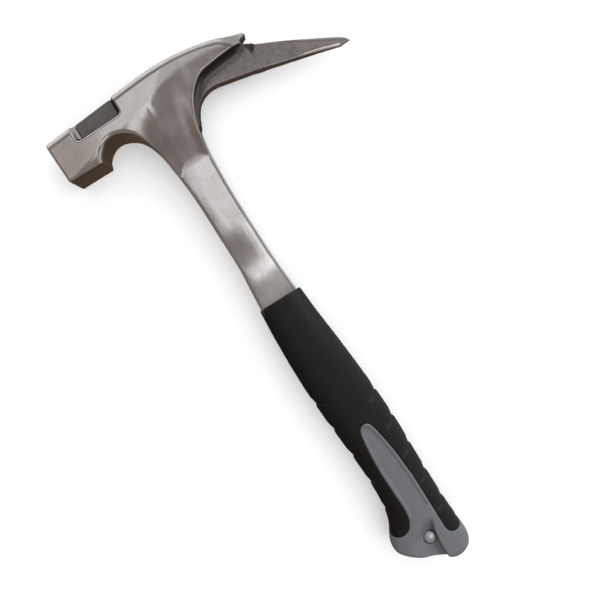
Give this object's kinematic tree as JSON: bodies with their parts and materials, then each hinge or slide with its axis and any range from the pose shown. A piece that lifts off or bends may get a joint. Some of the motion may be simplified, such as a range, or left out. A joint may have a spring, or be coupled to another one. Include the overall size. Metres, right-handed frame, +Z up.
{
  "type": "roofing hammer",
  "caption": "All-steel roofing hammer: square striking face, nail-holder pocket, side nail-puller notch, long pointed spike, two-tone moulded grip with a riveted butt.",
  "frame": {"origin": "centre of the bounding box's footprint, on the surface that the hammer lies on", "axes": "the hammer lies on its side: +Z up through its thickness with the nail-holder pocket facing up, +Y along the handle towards the top of the head, +X along the head towards the spike (striking face towards -X)"},
  "size_m": [0.182, 0.3304, 0.025],
  "materials": {
    "polished_steel": "drop-forged steel, ground and polished to a soft satin",
    "magnet": "dark matt sintered magnet",
    "grey_plastic": "mid-grey moulded plastic, fine matt texture",
    "black_rubber": "soft black moulded rubber, matt",
    "rivet_steel": "bright domed steel"
  },
  "bodies": {
    "root": {"head_forging": "polished_steel", "nail_magnet": "magnet", "grip_core": "grey_plastic", "grip_sleeve": "black_rubber", "butt_rivet": "rivet_steel"}
  },
  "joints": []
}
